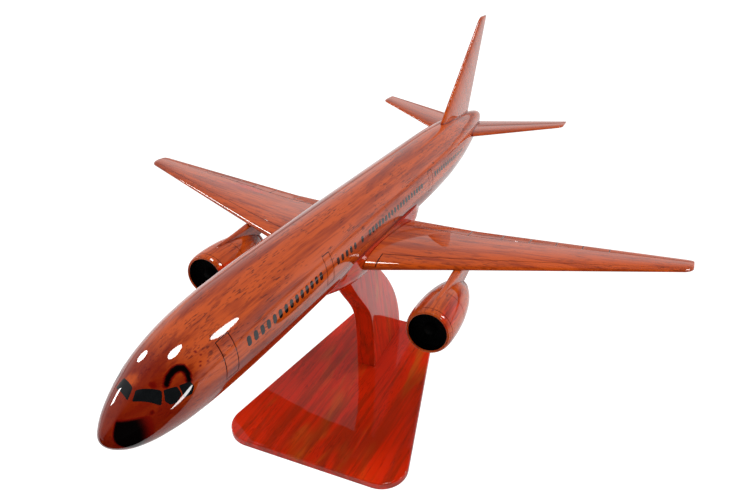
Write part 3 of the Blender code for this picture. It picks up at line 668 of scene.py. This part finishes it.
def wing_blade(label, side):
    """The wing as rings round the chord; grooves sink both faces along the scribed lines."""
    root, tip, rounded = WING["span"][0], WING["span"][-1], WING["tip"]
    spans = np.concatenate((np.linspace(root, tip - rounded, 130),
                            tip - rounded * (1 - np.sin(np.radians(np.linspace(4, 90, 10))))))
    spans = with_lines(spans, FLAP_TICKS + (SLAT_TICK,), WING_SCRIBE)
    chord = np.interp(spans, WING["span"], WING["te"]) - np.interp(spans, WING["span"], WING["le"])
    flap = 1 - FLAP_MM * np.interp(spans, (root, tip), FLAP_TAPER) / chord
    slat = np.full(len(spans), SLAT_SHARE)
    shares = chord_shares(slat, flap)
    along, over, under = blade(WING, spans, shares)
    across = np.broadcast_to(spans[:, None], along.shape)
    inboard = (spans > SLAT_TICK - WING_SCRIBE)[:, None] & (spans < tip - 3)[:, None]
    cut = groove((shares - slat[:, None]) * SLAT_CHORD, WING_SCRIBE) * inboard
    flap_line = groove((shares - flap[:, None]) * FLAP_CHORD, WING_SCRIBE)
    cut = np.maximum(cut, flap_line * (spans < tip - 2)[:, None])
    cut = np.maximum(cut, groove(across - SLAT_TICK, WING_SCRIBE) * (shares < slat[:, None]))
    for tick in FLAP_TICKS:
        cut = np.maximum(cut, groove(across - tick, WING_SCRIBE) * (shares > flap[:, None] - 0.01))
    cut *= (shares > 0.004) & (shares < 0.995)
    depth = SCRIBE_DEPTH * np.minimum(1.0, (over - under) / 1.2)
    wave = polish_waves(across * 1.3, along, 0.008) * np.minimum(1, (over - under) / 2)
    over, under = over + wave - depth * cut, under + wave + depth * cut * 0.8
    ring_x = np.hstack((across, across[:, :0:-1])) * side
    ring_a = np.hstack((along, along[:, :0:-1]))
    ring_h = np.hstack((over, under[:, :0:-1]))
    sweep_back = math.atan2(WING["le"][-1] - WING["le"][0], tip - root)
    wood = mahogany("mahogany_wing_" + label, (0, 0, side * (math.radians(90) - sweep_back * 0.62)),
                    (0.1 * side, 0.2, 0.0), red=0.0, brown=0.6, streaks=0.55, pores=0.5)
    piece = closed_mesh("wing_blade_" + label, placed(ring_x, ring_a, ring_h), skin=wood,
                        scribed=np.hstack((cut, cut[:, :0:-1])))
    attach(piece, "aircraft")
    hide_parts("wing_" + label)


for label, side in (("port", 1), ("starboard", -1)):
    wing_blade(label, side)


# ------------------------------------------------------------------------------ engines
# Turned nacelles with a scribed lip and a scribed waist hang on slim pylons; the intake is
# lacquered black round a small spinner, and a turned cone plugs the rear.
ENGINE_X, ENGINE_H = 65.6, -26.3
NACELLE_A = np.array((155.2, 155.8, 157.5, 162.0, 169.0, 178.0, 188.0, 197.0, 203.0, 206.0, 206.6))
NACELLE_R = np.array((10.9, 11.5, 12.1, 12.6, 12.8, 12.5, 11.5, 9.9, 8.3, 7.2, 6.6))
LIP_LINE, WAIST_LINE = 158.7, 178.0
TURNED_LINE = 0.2                              # half width and depth of the turned grooves
BORE_R, BORE_A = 10.1, 164.0
CONE_A, CONE_END, CONE_R = 206.9, 214.2, 6.3
AROUND = np.linspace(0, 2 * math.pi, 96, endpoint=False)


def turned(name, profile, side, skin, mark=0.0, black=0.0):
    """Profile of (station, radius) turned about the engine's axis; mark is kept as scribed and
    black as the attribute of dark marks and painted shade."""
    a, radius = np.array(profile).T
    x = side * ENGINE_X + radius[:, None] * np.sin(AROUND)
    h = ENGINE_H + radius[:, None] * np.cos(AROUND)
    scribed, stain = (np.broadcast_to(np.reshape(line, (-1, 1)), x.shape) for line in (mark, black))
    return closed_mesh(name, placed(x, a[:, None], h), skin=skin, scribed=scribed, stain=stain)


def nacelle_profile():
    """Intake bore, rounded lip, outer curve with its two grooves, and the flat rear end."""
    a = with_lines(np.linspace(155.9, 206.4, 90), (LIP_LINE, WAIST_LINE), TURNED_LINE)
    cut = np.maximum(groove(a - LIP_LINE, TURNED_LINE), groove(a - WAIST_LINE, TURNED_LINE))
    outer = np.stack((a, smooth_line(a, NACELLE_A, NACELLE_R) - TURNED_LINE * cut), -1)
    bend = np.radians(np.linspace(180, 0, 12))
    lip = np.stack((155.75 - 0.55 * np.sin(bend), 10.8 + 0.7 * np.cos(bend)), -1)
    mouth = np.array(((BORE_A, 0.05), (BORE_A, BORE_R - 0.4), (BORE_A, BORE_R), (160.0, BORE_R),
                      (156.6, BORE_R)))
    rear = np.array([(NACELLE_A[-1], radius) for radius in (6.8, 6.4, 2.2, 0.05)])
    profile = np.vstack((mouth, lip, outer, rear))
    black = np.zeros(len(profile))
    black[:len(mouth) + 2] = 1.0
    return profile, np.concatenate((np.zeros(len(mouth) + len(lip)), cut, np.zeros(len(rear)))), black


fan_black, coords = shader("intake_black")
# Painted glint: tiny specks of lighter grey in the black, which are also glossier.
painted_glint_specks = coords.noise((3000, 3000, 3000), 1.0, 0.5).step(0.70, 0.76)
close_shader(fan_black, coords, Base_Color=coords.node("ShaderNodeMix", {"data_type": "RGBA"}, {
    6: (0.0008, 0.0008, 0.0008, 1), 7: (0.03, 0.033, 0.036, 1), "Factor": painted_glint_specks * 0.6}, 2),
    Roughness=0.6 - painted_glint_specks * 0.3, Specular_IOR_Level=0.06)
FAN_A, FAN_BACK, FAN_R = 160.4, 163.4, 9.75
SPINNER_A, SPINNER_R = 157.0, 3.4
BLADES, BLADE_DEPTH = 22, 0.35


def fan_face(label, side):
    """Disc with shallow radial blades round a spinner: the face's depth follows a sine round
    the axis that fades out at the hub and the rim; the back is flat."""
    dome = np.radians(np.linspace(3, 90, 12))
    radius = np.concatenate((SPINNER_R * np.sin(dome), np.linspace(SPINNER_R + 0.05, FAN_R - 0.05, 24)))
    a = np.concatenate((FAN_A - (FAN_A - SPINNER_A) * np.cos(dome), np.full(24, FAN_A)))
    fade = soft(radius, SPINNER_R + 0.1, SPINNER_R + 1.5) * (1 - soft(radius, 9.2, 9.6))
    turn = np.linspace(0, 2 * math.pi, 176, endpoint=False)
    swirl = np.sin(BLADES * turn + radius[:, None] * 0.35)
    a = a[:, None] + BLADE_DEPTH * fade[:, None] * (1 - swirl) / 2
    radius = np.append(radius, (FAN_R, FAN_R))
    a = np.vstack((a, np.full((2, 176), ((FAN_A,), (FAN_BACK,)))))
    x = side * ENGINE_X + radius[:, None] * np.sin(turn)
    h = ENGINE_H + radius[:, None] * np.cos(turn)
    piece = closed_mesh("intake_fan_" + label, placed(x, a, h), skin=fan_black)
    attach(piece, "aircraft")
    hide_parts("fan_face_" + label)


PYLON_A = np.array((165.5, 171, 186, 204, 220, 232, 238.0))
PYLON_TOP = np.array((-13.6, -12.7, -12.1, -11.0, -10.6, -10.6, -10.6))
PYLON_BOTTOM = np.array((-18.0, -20.0, -21.0, -22.5, -19.5, -15.6, -13.9))
PYLON_HALF = np.array((0.5, 1.1, 1.7, 2.4, 2.4, 1.6, 0.7))


def pylon(label, side, skin):
    """Slim upright loft: at each station an outline with straight flanks and a round top."""
    a = np.linspace(PYLON_A[0], PYLON_A[-1], 70)
    top, bottom, half = (smooth_line(a, PYLON_A, line)[:, None]
                         for line in (PYLON_TOP, PYLON_BOTTOM, PYLON_HALF))
    bend = np.radians(np.linspace(0, 90, 10))
    soft_top = 0.8 * half
    flank = np.linspace(0, 1, 8)[:-1]
    right_x = np.hstack((half + 0 * flank, half * np.cos(bend)))
    right_h = np.hstack((bottom + (top - soft_top - bottom) * flank, top - soft_top * (1 - np.sin(bend))))
    x = np.hstack((right_x, -right_x[:, -2::-1]))
    h = np.hstack((right_h, right_h[:, -2::-1]))
    piece = closed_mesh("pylon_strut_" + label, placed(side * ENGINE_X + x, a[:, None], h), skin=skin)
    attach(piece, "aircraft")
    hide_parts("pylon_" + label)


for label, side in (("port", 1), ("starboard", -1)):
    wood = mahogany("mahogany_engine_" + label, ALONG, (0.15 * side, 0.3, 0.1), red=0.3, brown=0.7,
                    streaks=0.6, pores=0.6)
    profile, mark, black = nacelle_profile()
    cowl = turned("nacelle_cowl_" + label, profile, side, wood, mark, black)
    bend = np.radians(np.linspace(0, 88, 18))
    cone = np.column_stack((CONE_A + (CONE_END - CONE_A) * np.sin(bend), CONE_R * np.cos(bend)))
    plug = turned("exhaust_cone_" + label, np.vstack(((CONE_A, 0.05), (CONE_A, 6.0), cone)), side, wood)
    for piece, node in ((cowl, "nacelle_"), (plug, "tail_cone_")):
        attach(piece, "aircraft")
        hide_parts(node + label)
    fan_face(label, side)
    pylon(label, side, wood)


# ------------------------------------------------------------------------------ tail
# Fin and stabilisers are thin blades like the wings, without scribed lines, let into the
# tapering end of the fuselage on dowels; the fin's grain stands upright.
FIN = dict(span=(10.0, 22.0, 91.6), le=(352.7, 366.8, 447.9), te=(436.4, 440.7, 466.5),
           thick=(6.4, 6.0, 2.2), rise=(0.0, 0.0, 0.0), tip=4.0, upper=0.5)
STAB = dict(span=(3.0, 12.0, 77.6), le=(395.8, 402.2, 447.8), te=(454.6, 456.2, 468.0),
            thick=(4.8, 4.6, 2.0), rise=(5.9, 6.8, 13.7), tip=3.5, upper=0.5)


def dark_root_band(x, a, h):
    """Dark red band within a millimetre of the fuselage: the distance outside the oval section,
    scaled from its shape."""
    half, tall, middle = oval(np.clip(a, 1.0, LENGTH - TAIL_ROUND))
    outside = (np.hypot(x / half, (h - middle) / tall) - 1) * np.minimum(half, tall)
    return 0.5 * (1 - soft(outside, 0.4, 1.4))


def tail_rings(plan):
    """Closed sections of a blade without grooves: span, along and across for each point."""
    first, last = plan["span"][0], plan["span"][-1]
    round_off = plan["tip"]
    spans = np.concatenate((np.linspace(first, last - round_off, 60),
                            last - round_off * (1 - np.sin(np.radians(np.linspace(6, 90, 10))))))
    shares = np.broadcast_to((1 - np.cos(np.linspace(0, math.pi, 44))) / 2, (len(spans), 44))
    along, over, under = blade(plan, spans, shares)
    wave = polish_waves(spans[:, None] * 1.2, along, 0.003) * np.minimum(1, (over - under) / 2)
    across = np.broadcast_to(spans[:, None], along.shape)
    return (np.hstack((across, across[:, :0:-1])), np.hstack((along, along[:, :0:-1])),
            np.hstack((over + wave, under[:, :0:-1] + wave[:, :0:-1])))


span, along, over = tail_rings(FIN)
fin = closed_mesh("fin_blade", placed(over, along, span), skin=mahogany(
    "mahogany_fin", (math.radians(60), 0, 0), (0.3, 0.0, 0.2), red=0.0, brown=0.4, streaks=0.35, pores=0.3),
    stain=dark_root_band(over, along, span))
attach(fin, "aircraft")
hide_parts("fin")
span, along, over = tail_rings(STAB)
for label, side in (("port", 1), ("starboard", -1)):
    wood = mahogany("mahogany_stabiliser_" + label, (0, 0, side * math.radians(65)), (0.3, 0.1 * side, 0.2),
                    red=0.0, brown=0.5, streaks=0.4, pores=0.4)
    stab = closed_mesh("stabiliser_blade_" + label, placed(side * span, along, over), skin=wood,
                       stain=dark_root_band(span, along, over))
    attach(stab, "aircraft")
    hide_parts("stabiliser_" + label)


# ------------------------------------------------------------------------------ studio
# A plain white floor, a pale surround that darkens behind the camera, and a few softboxes.
BACKDROP = 1.2                                 # brightness of floor and surround to the camera
floor_mesh = bpy.data.meshes.new("studio_floor")
far = 6.0
edge_y, edge_slope = -0.21, 0.38               # its front edge runs across just before the nose
edges = [(-far, edge_y - far * edge_slope, 0), (far, edge_y + far * edge_slope, 0)]
floor_mesh.from_pydata(edges + [(far, far, 0), (-far, far, 0)], [], [(0, 1, 2, 3)])
floor = bpy.data.objects.new("studio_floor", floor_mesh)
bpy.context.scene.collection.objects.link(floor)
floor_white = bpy.data.materials.new("studio_white")
floor_white.use_nodes = True
floor_white.node_tree.nodes.clear()
start = Signal(floor_white.node_tree)
seen = start.node("ShaderNodeLightPath")
matt = start.node("ShaderNodeBsdfDiffuse", None, {"Color": (0.82, 0.82, 0.82, 1)})
bright = start.node("ShaderNodeEmission", None, {"Color": (1, 1, 1, 1), "Strength": BACKDROP})
both = start.node("ShaderNodeMixShader", None, {"Fac": seen * 0.97, 1: matt, 2: bright})
start.node("ShaderNodeOutputMaterial", None, {"Surface": both})
floor_mesh.materials.append(floor_white)

world = bpy.data.worlds.new("studio_surround")
bpy.context.scene.world = world
world.use_nodes = True
world.node_tree.nodes.clear()
start = Signal(world.node_tree)
direction = start.node("ShaderNodeTexCoord")
height = start.node("ShaderNodeSeparateXYZ", None, {0: direction}, 2)
SKY_FILL = 0.38                                # surround that lights matt surfaces
DARK_SIDE = Vector((0.62, -0.66, 0.42)).normalized()
facing = start.node("ShaderNodeVectorMath", {"operation": "DOT_PRODUCT"}, {0: direction, 1: DARK_SIDE}, 1)
mirrored = 0.80 - height.step(0.0, 0.45) * 0.42 - height.step(0.78, 1.0) * 0.28
mirrored = mirrored * (1 - facing.step(0.28, 0.52) * 0.985) * height.step(-0.04, 0.0)
seen = start.node("ShaderNodeLightPath")
diffused = start.node("ShaderNodeLightPath", out=2)
level = mirrored + diffused * (SKY_FILL - mirrored)
level = level + seen * (BACKDROP - level)
sky = start.node("ShaderNodeBackground", None, {"Color": (1, 1, 1, 1), "Strength": level})
start.node("ShaderNodeOutputWorld", None, {"Surface": sky})

NOSE = Vector((0.005, -0.17, 0.145))           # the softboxes are aimed here


def softbox(name, direction, distance, size, brightness, shape="ELLIPSE", tilt=0.0, mirrored=True):
    """Light in that direction from the nose, facing it, of that radiance, turned by tilt."""
    data = bpy.data.lights.new(name, "AREA")
    data.shape = shape
    data.size, data.size_y = size
    area = size[0] * size[1] * (math.pi / 4 if shape == "ELLIPSE" else 1)
    data.energy = brightness * math.pi * area
    lamp = bpy.data.objects.new(name, data)
    bpy.context.scene.collection.objects.link(lamp)
    toward = Vector(direction).normalized()
    tilted = Matrix.Rotation(math.radians(tilt), 4, "Z").to_quaternion()
    lamp.location = NOSE + toward * distance
    lamp.rotation_euler = (toward.to_track_quat("Z", "Y") @ tilted).to_euler()
    lamp.visible_camera = False
    lamp.visible_glossy = mirrored


softbox("softbox_overhead", (0.03, 0.36, 0.93), 1.5, (0.42, 0.26), 26.0)
softbox("softbox_left", (-0.83, 0.33, 0.44), 1.5, (0.14, 0.42), 26.0)
softbox("softbox_rear_right", (0.56, 0.62, 0.54), 1.5, (0.22, 0.42), 22.0)
softbox("softbox_low_right", (0.985, 0.17, -0.12), 0.9, (0.085, 0.30), 17.0, tilt=-30.0)
softbox("softbox_far_left", (-0.91, 0.06, 0.39), 1.5, (0.16, 0.20), 22.0, "RECTANGLE")
softbox("fill_left", (-0.75, 0.15, 0.62), 1.6, (1.0, 0.8), 1.2, mirrored=False)
softbox("fill_right", (0.80, 0.25, 0.55), 1.6, (1.0, 0.8), 1.2, mirrored=False)
softbox("fill_front", (0.15, -0.80, 0.50), 1.6, (1.0, 0.8), 3.1, mirrored=False)

camera_data = bpy.data.cameras.new("camera")
camera_data.lens, camera_data.sensor_width = 35.756, 36.0
CAMERA_AT = Vector((0.15528, -0.32917, 0.34709))
camera_data.clip_start = 0.01
camera = bpy.data.objects.new("camera", camera_data)
bpy.context.scene.collection.objects.link(camera)
look = Vector((-0.32817, 0.77048, -0.54650)).normalized()
right = Vector((look.y, -look.x, 0)).normalized()
up = right.cross(look)
ROLL = math.radians(-0.67)
right, up = right * math.cos(ROLL) + up * math.sin(ROLL), up * math.cos(ROLL) - right * math.sin(ROLL)
axes = Matrix((right, up, -look)).transposed().to_4x4()
camera.matrix_world = Matrix.Translation(CAMERA_AT) @ axes
bpy.context.scene.camera = camera
bpy.context.scene.view_settings.view_transform = "Standard"
